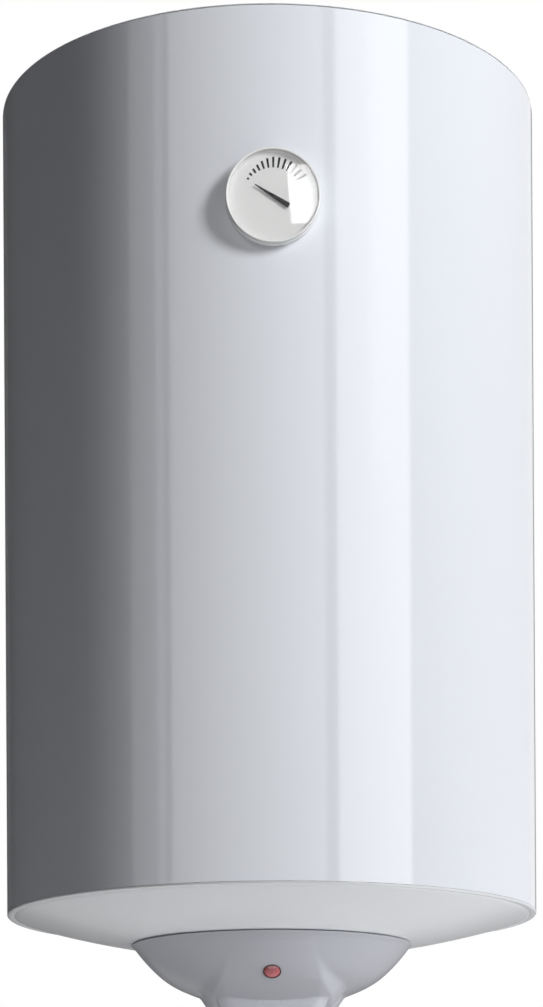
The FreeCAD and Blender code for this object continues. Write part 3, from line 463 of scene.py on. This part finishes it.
def screw_well(cx, cy):
    """Tube from the cap's skin up to the lid, closed by a floor for the screw."""
    def level(radius, height):
        return ring(radius, height, BORE_STEPS, cx, cy)

    def over_skin(radius, lift):
        return [(x, y, cap_height(x, y, math.hypot(x, y)) + lift)
                for x, y, _ in level(radius, 0.0)]

    return net([over_skin(WELL_BORE, 0.02), level(WELL_BORE, SCREW_FLOOR),
                level(ON_AXIS, SCREW_FLOOR), level(ON_AXIS, SCREW_FLOOR + WELL_FLOOR),
                level(WELL_WALL, SCREW_FLOOR + WELL_FLOOR), over_skin(WELL_WALL, 0.8)])


for number, (cx, cy) in enumerate(SCREWS):
    cut_by(cap, rod(WELL_BORE, -90, -20, cx, cy))
    piece_from("screw_well_%d" % number, screw_well(cx, cy), "cap_plastic")


# ---------------------------------------------------------------- lead inlet's sleeve in the cap

INLET = BOWL_TOP - 11.7
BORE_WIDE, BORE_HIGH = 8.3, 6.3     # halves of the lead's bore


def rounded_ring(half_w, half_h, corner, y):
    """Rounded rectangle of points in a plane across Y."""
    points = []
    for cx, cz, start in ((1, 1, 0), (-1, 1, 90), (-1, -1, 180), (1, -1, 270)):
        for k in range(7):
            a = math.radians(start + 15 * k)
            points.append((cx * (half_w - corner) + corner * math.cos(a), y,
                           INLET + cz * (half_h - corner) + corner * math.sin(a)))
    return points


cut_by(cap, box(-BORE_WIDE, BORE_WIDE, 90.0, 125.0, INLET - BORE_HIGH, INLET + BORE_HIGH))
piece_from("inlet_sleeve", net([rounded_ring(*row) for row in (
    (10.8, 8.8, 2.0, 98.0), (10.8, 8.8, 2.0, 113.2), (10.0, 8.0, 1.6, 114.0),
    (BORE_WIDE, BORE_HIGH, 0.6, 114.0), (BORE_WIDE, BORE_HIGH, 0.6, 98.0))]), "cap_plastic")


# ---------------------------------------------------------------- cap screws with cross recesses

HEAD_RADIUS = 3.8
HEAD_EDGE = SCREW_FLOOR - 0.7
HEAD_CROWN = 1.9
HEAD_LOW = SCREW_FLOOR - 2.6
HEAD_STEPS = 40
CROSS_DEEP = 1.3
CROSS_LONG = 2.1        # half of a slot's length
CROSS_WIDE = 0.45       # half of its width

for number, (cx, cy) in enumerate(SCREWS):
    head = [(0.0, SCREW_FLOOR), (HEAD_RADIUS, SCREW_FLOOR), (HEAD_RADIUS, HEAD_EDGE)]
    for degrees in (20, 40, 60, 78):
        a = math.radians(degrees)
        head.append((HEAD_RADIUS * math.cos(a), HEAD_EDGE - HEAD_CROWN * math.sin(a)))
    head.append((0.0, HEAD_LOW))
    names = ["cap_screws"] if number == 0 else []
    screw = piece_from("cross_screw_%d" % number, lathe(head, HEAD_STEPS, cx=cx, cy=cy),
                       "fastener_steel", stands_for=names)
    for along_x, along_y in ((CROSS_LONG, CROSS_WIDE), (CROSS_WIDE, CROSS_LONG)):
        cut_by(screw, box(cx - along_x, cx + along_x, cy - along_y, cy + along_y,
                          HEAD_LOW - 1, HEAD_LOW + CROSS_DEEP))


# ---------------------------------------------------------------- pipes with rolled threads

TANK = 203.0            # tank's outer radius
TANK_RISE = 50.0        # rise of its domed end
TANK_END = (TANK ** 2 + TANK_RISE ** 2) / (2 * TANK_RISE)
PIPE_TOP = 8.0 + TANK_END - math.sqrt(TANK_END ** 2 - PIPE_SIDE ** 2 - PIPE_BACK ** 2) + 14.0
PIPE_END = -54.0
PIPE_BORE = 7.75
PIPE_RADIUS = 10.65
PIPE_STEPS = 60
PITCH = 1.814
THREAD_CREST = 10.48
THREAD_DEPTH = 1.05
THREAD_START = -53.9
THREAD_LENGTH = 19.4
THREAD_ROWS = 100


def threaded_pipe(cx, cy):
    """Pipe with a helical thread at its lower end."""
    def row(radius, height):
        return ring(radius, height, PIPE_STEPS, cx, cy)

    def thread_row(height):
        def size(turn):
            phase = (height / PITCH - turn / (2 * math.pi)) % 1.0
            return THREAD_CREST - THREAD_DEPTH * abs(2 * phase - 1)
        return row(size, height)

    rows = [row(PIPE_BORE, PIPE_END), row(9.2, PIPE_END)]
    rows += [thread_row(THREAD_START + THREAD_LENGTH * k / THREAD_ROWS)
             for k in range(THREAD_ROWS + 1)]
    rows += [row(9.45, -34.2), row(PIPE_RADIUS, -33.9), row(PIPE_RADIUS, PIPE_TOP),
             row(PIPE_BORE, PIPE_TOP)]
    return net(rows)


for name, cx in (("hot", -PIPE_SIDE), ("cold", PIPE_SIDE)):
    piece_from(name + "_threaded_pipe", threaded_pipe(cx, PIPE_BACK), "pipe_steel",
               stands_for=[name + "_nipple"], angle=80)


# ---------------------------------------------------------------- nuts with chamfered corners

STUD_SIDE = 32.0        # studs to either side of the axis
NUT_STEPS = 72


def nut(cx, cz, near, thick, flats, bore):
    """Hexagon nut across Y with both faces chamfered."""
    def row(y, limit):
        points = []
        for turn in turns(NUT_STEPS):
            off = (math.degrees(turn) % 60) - 30
            size = min(flats / 2 / math.cos(math.radians(off)), limit)
            points.append((cx + size * math.cos(turn), y, cz + size * math.sin(turn)))
        return points

    far = near + thick
    return net([row(near, bore), row(near, flats * 0.49), row(near + 0.25, flats * 0.525),
                row(near + 0.7, flats), row(far - 0.7, flats), row(far - 0.25, flats * 0.525),
                row(far, flats * 0.49), row(far, bore)])


for number, cx in enumerate((-STUD_SIDE, STUD_SIDE)):
    names = ["bracket_nuts"] if number == 0 else []
    shape = nut(cx, BRACKET, near=228.3, thick=6.0, flats=16.0, bore=5.1)
    piece_from("chamfered_nut_%d" % number, shape, "fastener_steel", stands_for=names, angle=25)


# ---------------------------------------------------------------- folded seam down the back

# Place across the back and lift off the casing, round the fold's section
fold = ((-5.0, -0.3), (-4.6, 0.35), (-3.8, 0.75), (3.8, 0.75), (4.2, 0.45), (4.4, 0.0),
        (4.4, -0.3))
piece_from("casing_seam", prism([[(x, math.sqrt(CASING ** 2 - x * x) + lift, z)
                                  for x, lift in fold] for z in (3.0, 675.0)]),
           "casing_paint", angle=50)


# ---------------------------------------------------------------- thermometer

DIAL_HEIGHT = 526.5
DIAL_TURN = math.radians(1.0)
DIAL_SEAT = 225.35      # radius that the housing's back is cut to


def dial_at(x, y, z):
    """Place on the dial: x right, y up and z out of the casing, in millimetres."""
    c, s = math.cos(DIAL_TURN), math.sin(DIAL_TURN)
    depth = -CASING - z
    return at(x * c - depth * s, x * s + depth * c, DIAL_HEIGHT + y)


def dial_net(profile, steps=128):
    """Closed profile turned about the dial's axis; a height of None lies on the casing."""
    rows = []
    for radius, height in profile:
        rows.append([(x, y, math.sqrt(DIAL_SEAT ** 2 - x * x) - CASING if height is None else z)
                     for x, y, z in ring(radius, height, steps)])
    return net(rows, dial_at)


housing = [(2.0, None), (20.0, None), (36.6, None), (36.6, 1.6), (36.5, 3.4), (36.1, 3.7),
           (36.1, 4.3), (36.4, 4.7), (36.3, 8.6)]
housing += arc(35.9, 9.0, 0.45, 0, 90, 4)
housing += [(35.3, 9.45), (34.95, 9.25), (34.8, 8.9), (34.7, 5.4), (34.3, 5.1), (33.2, 5.05),
            (33.2, 4.2), (2.0, 4.2)]
dial_shell = piece_from("dial_housing_shell", dial_net(housing), "dial_housing",
                        stands_for=["thermometer_housing"], angle=40)

WINDOW = 34.75
WINDOW_RISE = 3.2
DOME = (WINDOW ** 2 + WINDOW_RISE ** 2) / (2 * WINDOW_RISE)
WINDOW_RINGS = 24
outwards = range(WINDOW_RINGS + 1)
pane = []
for rim_height, steps in ((9.4, outwards), (8.3, reversed(outwards))):
    for k in steps:
        radius = WINDOW * k / WINDOW_RINGS
        height = rim_height + math.sqrt(DOME ** 2 - radius ** 2) - DOME + WINDOW_RISE
        pane.append((max(radius, 0.01), height))
window = piece_from("dial_window", dial_net(pane), "dial_lens", stands_for=["thermometer_lens"],
                    angle=40)

MARK_WIDTH = 1.75
MARK_COUNT = 13
marks = []
for number in range(MARK_COUNT):
    inner = 22.2 + (0.4 if number < 2 else 0.0)
    outer = inner + min(1.6 + 1.15 * number, 8.2)
    marks.append((144.5 - 9.2 * number, (inner, MARK_WIDTH * 0.42), (outer, MARK_WIDTH * 0.5)))
piece_from("scale_marks", bars(marks, (4.98, 5.05), dial_at), "dial_plate", finish=PRINT)

# Along the needle and across it, round its outline
blade = [(-14.4, -2.0), (-14.1, -2.05), (16.0, -0.35), (16.4, 0.0), (16.0, 0.35), (-14.1, 2.05),
         (-14.4, 2.0)]
NEEDLE_TURN = math.radians(148.0)
c, s = math.cos(NEEDLE_TURN), math.sin(NEEDLE_TURN)
piece_from("needle_blade", prism([[(c * along - s * across, s * along + c * across, height)
                                   for along, across in blade] for height in (6.2, 6.8)], dial_at),
           "needle_paint", body="needle", stands_for=["thermometer_needle"])
hub = [(0.01, 6.7), (1.45, 6.7), (1.45, 7.0), (1.1, 7.35), (0.5, 7.4), (0.01, 7.4)]
piece_from("needle_hub", dial_net(hub, 32), "needle_paint", body="needle")


# ---------------------------------------------------------------- pilot lamp

LAMP_REACH = 91.5       # in front of the axis
SEAT = math.asin(LAMP_REACH / PANEL[0])
SEAT_Z = PANEL[1] - PANEL[0] * math.cos(SEAT)


def lamp_at(x, y, z):
    """Place on the lamp: z points out of the console."""
    c, s = math.cos(SEAT), math.sin(SEAT)
    return at(x, -LAMP_REACH - y * c - z * s, SEAT_Z + y * s - z * c)


bezel = [(6.7, 0.1), (7.3, 0.1), (7.5, 0.3), (7.5, 0.7)]
bezel += arc(7.15, 0.7, 0.35, 0, 90, 4)[1:]
bezel += [(6.9, 1.05), (6.7, 0.85)]
piece_from("lamp_ring", lathe(bezel, 64, lamp_at), "lamp_rim", stands_for=["lamp_bezel"])


def cut_lens():
    """Lens cut in triangles: eight at its tip, sixteen round them, then more to a round foot."""
    # Radius, height, corners and turn in degrees of each ring
    rings = ((2.2, 3.0, 8, 0.0), (4.9, 2.3, 8, 22.5), (6.6, 0.6, 16, 0.0), (6.6, 0.2, 16, 0.0))
    verts = [lamp_at(0, 0, 3.6)]
    starts = []
    for radius, height, corners, turn in rings:
        starts.append(len(verts))
        for i in range(corners):
            a = math.radians(turn + 360 * i / corners)
            verts.append(lamp_at(radius * math.cos(a), radius * math.sin(a), height))
    verts.append(lamp_at(0, 0, 0.2))
    tip, girdle, edge, foot = starts
    faces = [(0, tip + i, tip + (i + 1) % 8) for i in range(8)]
    for i in range(8):
        j = (i + 1) % 8
        faces.append((tip + i, girdle + i, tip + j))
        faces.append((girdle + i, girdle + j, tip + j))
    for i in range(8):
        a, b, d = (edge + (2 * i + step) % 16 for step in (1, 2, 3))
        j = (i + 1) % 8
        faces += [(girdle + i, a, b), (girdle + i, b, girdle + j), (girdle + j, b, d)]
    for i in range(16):
        j = (i + 1) % 16
        faces.append((edge + i, foot + i, foot + j, edge + j))
        faces.append((foot + i, len(verts) - 1, foot + j))
    return verts, faces


piece_from("lamp_cut_lens", cut_lens(), "lamp_red", stands_for=["lamp_lens"], angle=3)


# ---------------------------------------------------------------- marks round the knob

KNOB_TRAVEL = 270       # degrees
KNOB_MARKS = 9
marks = []
for number in range(KNOB_MARKS):
    half = 0.35 + 0.05 * number
    degrees = -225 + KNOB_TRAVEL * number / (KNOB_MARKS - 1)
    marks.append((degrees, (26.4, half), (28.4 + 0.25 * number, half)))
piece_from("knob_marks", bars(marks, (CAP_FLOOR + 0.05, CAP_FLOOR - 0.06)), "cap_plastic",
           finish=PRINT)


# ---------------------------------------------------------------- camera

# The photograph keeps upright edges parallel while it looks up, as a camera with a rising front
# does. Its picture plane is upright, so the line of sight leans against it. A plain camera cannot
# hold that, and its stand carries the lean.
PICTURE_WIDE, PICTURE_HIGH = 543, 1007
FOCAL = 2643.1          # pixels
ROLL = -0.0056
AXIS_PIXEL = 273.6
HORIZON_PIXEL = 1238.6
CAMERA_AT = at(0.0, -2258.96, -273.58)
SENSOR = 36.0
side = (AXIS_PIXEL - PICTURE_WIDE / 2) / FOCAL
rise = (HORIZON_PIXEL - PICTURE_HIGH / 2) / FOCAL
c, s = math.cos(ROLL), math.sin(ROLL)
back = Vector((c * side + s * rise, -1, s * side - c * rise))
stretch = back.length
lean = Matrix.Identity(4)
for column, axis in enumerate((Vector((c, 0, s)), Vector((-s, 0, c)), back / stretch, CAMERA_AT)):
    for row in range(3):
        lean[row][column] = axis[row]
stand = bpy.data.objects.new("camera_stand", None)
scene.collection.objects.link(stand)
lens = bpy.data.cameras.new("camera")
lens.sensor_width = SENSOR
lens.lens = FOCAL * stretch * SENSOR / PICTURE_HIGH
lens.clip_start = 0.05
lens.clip_end = 60.0
camera = bpy.data.objects.new("camera", lens)
scene.collection.objects.link(camera)
camera.parent = stand
camera.matrix_parent_inverse = lean
scene.camera = camera


# ---------------------------------------------------------------- lamps, in metres

AXIS_Y = -WALL / 1000


def lamp(name, place, aim, width, height, radiance):
    """Soft box at a place, turned to a point, of a given brightness."""
    data = bpy.data.lights.new(name, "AREA")
    data.shape = "RECTANGLE"
    data.size = width
    data.size_y = height
    data.energy = radiance * width * height * math.pi
    lit = bpy.data.objects.new(name, data)
    scene.collection.objects.link(lit)
    lit.location = place
    lit.rotation_euler = (Vector(aim) - Vector(place)).to_track_quat("-Z", "Y").to_euler()
    lit.visible_camera = False
    return lit


# What a lamp may light, so that the room's cards stay dark and the cap and the dial keep lamps of
# their own
pieces = [piece for piece in scene.objects if piece.type == "MESH"]
RECEIVERS = {
    "heater": pieces,
    "rest": [piece for piece in pieces if piece != cap],
    "cap": [cap],
    "dial": [nodes["thermometer_dial"], dial_shell],
    "glint": [window],
}
collections = {}
for name, members in RECEIVERS.items():
    collections[name] = bpy.data.collections.new(name + "_receivers")
    for piece in members:
        collections[name].objects.link(piece)

# Name, azimuth from the front, distance, height, height aimed at, width, height, radiance and
# task: "shine" is seen in reflections alone, the others light matt surfaces alone, "all" of them
# or those of the named receivers
LAMPS = [
    ("key_box", 42.8, 2.3, 0.35, 0.35, 1.30, 2.6, 3.25, "shine"),
    ("front_box", -9, 2.7, 0.30, 0.30, 3.30, 3.2, 1.8, "shine"),
    ("edge_box", -48.5, 1.4, 0.30, 0.30, 0.36, 2.4, 1.0, "shine"),
    ("key_high", 47, 3.0, 1.20, -0.10, 0.60, 1.2, 39.2, "all"),
    ("under_mid", 0, 0.06, -1.20, 0.0, 0.90, 0.9, 0.21, "rest"),
    ("under_right", 90, 0.40, -1.20, 0.0, 0.50, 0.8, 3.3, "rest"),
    ("low_front", 0, 1.9, -1.18, -0.45, 1.20, 1.0, 0.4, "rest"),
    ("rear_light", 180, 2.4, 0.40, 0.10, 1.40, 2.0, 5.4, "heater"),
    ("rear_left", -125, 1.6, 0.20, 0.0, 0.40, 1.8, 0.7, "heater"),
    ("top_light", 180, 0.03, 2.40, 0.0, 0.42, 0.42, 26.0, "heater"),
    ("cap_front", 20, 1.6, -0.22, -0.58, 0.50, 0.4, 19.0, "cap"),
    ("cap_left", -75, 1.2, -1.05, -0.56, 0.50, 0.5, 3.4, "cap"),
    ("cap_right", 84, 1.5, -0.75, -0.57, 0.50, 0.5, 15.0, "cap"),
    ("dial_fill", 8, 1.6, -0.45, 0.0, 0.40, 0.4, 5.5, "dial"),
]
for name, azimuth, reach, height, aim, wide, tall, radiance, task in LAMPS:
    turn = math.radians(azimuth)
    soft = lamp(name, (reach * math.sin(turn), AXIS_Y - reach * math.cos(turn), height),
                (0, AXIS_Y, aim), wide, tall, radiance)
    soft.visible_glossy = task == "shine"
    soft.visible_diffuse = task != "shine"
    if task in collections:
        soft.light_linking.receiver_collection = collections[task]

# The thermometer's window alone catches this one
GLINT_REACH = 2
dial_middle = at(4.0, -235.0, DIAL_HEIGHT)
turn, climb = math.radians(17.5), math.radians(21.5)
towards = Vector((math.sin(turn) * math.cos(climb), -math.cos(turn) * math.cos(climb),
                  math.sin(climb)))
glint = lamp("window_glint", dial_middle + GLINT_REACH * towards, dial_middle,
             width=0.47, height=1.03, radiance=40.0)
glint.light_linking.receiver_collection = collections["glint"]


# ---------------------------------------------------------------- stage, in metres

FLOOR = -1.25
FLOOR_HALF = 9
FADE_NEAR, FADE_FAR = 1.5, 7.0      # span over which the floor goes white
CARD_TOP = 2.2
CARD_LEFT, CARD_RIGHT = -1.5, 1.0
CARD_FRONT, CARD_REAR = -1.7, 2.5


def board(name, corners, tone, shown=False):
    """Flat grey card on the stage."""
    mesh = bpy.data.meshes.new(name)
    mesh.from_pydata([Vector(p) for p in corners], [], [(0, 1, 2, 3)])
    card = bpy.data.objects.new(name, mesh)
    scene.collection.objects.link(card)
    mat = bpy.data.materials.new(name)
    mat.use_nodes = True
    shader = mat.node_tree.nodes["Principled BSDF"]
    shader.inputs["Base Color"].default_value = (tone, tone, tone, 1)
    shader.inputs["Roughness"].default_value = 0.9
    mesh.materials.append(mat)
    card.visible_camera = shown
    return card


def background_rays(tree, kinds=("Is Glossy Ray", "Is Transmission Ray")):
    """Socket that is 1 for rays from the camera and for the kinds that are named."""
    path = tree.nodes.new("ShaderNodeLightPath")
    joined = path.outputs["Is Camera Ray"]
    for kind in kinds:
        step = tree.nodes.new("ShaderNodeMath")
        step.operation = "MAXIMUM"
        tree.links.new(joined, step.inputs[0])
        tree.links.new(path.outputs[kind], step.inputs[1])
        joined = step.outputs[0]
    return joined


def ranged(tree, source, target, start, end, near=0.0, far=1.0):
    """Carry a socket to another, from one span of values to a second."""
    span = tree.nodes.new("ShaderNodeMapRange")
    for socket, value in (("From Min", near), ("From Max", far), ("To Min", start),
                          ("To Max", end)):
        span.inputs[socket].default_value = value
    tree.links.new(source, span.inputs["Value"])
    tree.links.new(span.outputs["Result"], target)


floor = board("floor", [(x * FLOOR_HALF, y * FLOOR_HALF, 0)
                        for x, y in ((-1, -1), (1, -1), (1, 1), (-1, 1))], 0.86, shown=True)
floor.location.z = FLOOR

# The camera and glass see the floor nearly white near the heater and white further off, with the
# shadow on it, while gloss sees it dimmer
tree = floor.data.materials[0].node_tree
shader = tree.nodes["Principled BSDF"]
shader.inputs["Emission Color"].default_value = (1, 1, 1, 1)
ranged(tree, background_rays(tree), shader.inputs["Emission Strength"], 0.0, 0.30)
place = tree.nodes.new("ShaderNodeTexCoord")
reach = tree.nodes.new("ShaderNodeVectorMath")
reach.operation = "LENGTH"
seen = tree.nodes.new("ShaderNodeBsdfDiffuse")
glow = tree.nodes.new("ShaderNodeEmission")
total = tree.nodes.new("ShaderNodeAddShader")
blend = tree.nodes.new("ShaderNodeMixShader")
ranged(tree, reach.outputs["Value"], seen.inputs["Color"], 0.18, 0.0, FADE_NEAR, FADE_FAR)
ranged(tree, reach.outputs["Value"], glow.inputs["Strength"], 0.86, 1.0, FADE_NEAR, FADE_FAR)
for source, target in (
        (place.outputs["Object"], reach.inputs[0]),
        (seen.outputs["BSDF"], total.inputs[0]),
        (glow.outputs["Emission"], total.inputs[1]),
        (background_rays(tree, ("Is Transmission Ray",)), blend.inputs["Fac"]),
        (shader.outputs["BSDF"], blend.inputs[1]),
        (total.outputs["Shader"], blend.inputs[2]),
        (blend.outputs["Shader"], tree.nodes["Material Output"].inputs["Surface"])):
    tree.links.new(source, target)

board("left_card", [(CARD_LEFT, CARD_FRONT, FLOOR), (CARD_LEFT, CARD_REAR, FLOOR),
                    (CARD_LEFT, CARD_REAR, CARD_TOP), (CARD_LEFT, CARD_FRONT, CARD_TOP)], 0.10)
board("rear_card", [(CARD_LEFT, CARD_REAR, FLOOR), (CARD_RIGHT, CARD_REAR, FLOOR),
                    (CARD_RIGHT, CARD_REAR, CARD_TOP), (CARD_LEFT, CARD_REAR, CARD_TOP)], 0.30)

world = bpy.data.worlds.new("studio")
scene.world = world
world.use_nodes = True
ground = world.node_tree.nodes["Background"]
ground.inputs["Color"].default_value = (1, 1, 1, 1)
ranged(world.node_tree, background_rays(world.node_tree), ground.inputs["Strength"], 0.008, 1.0)

scene.view_settings.view_transform = "Standard"
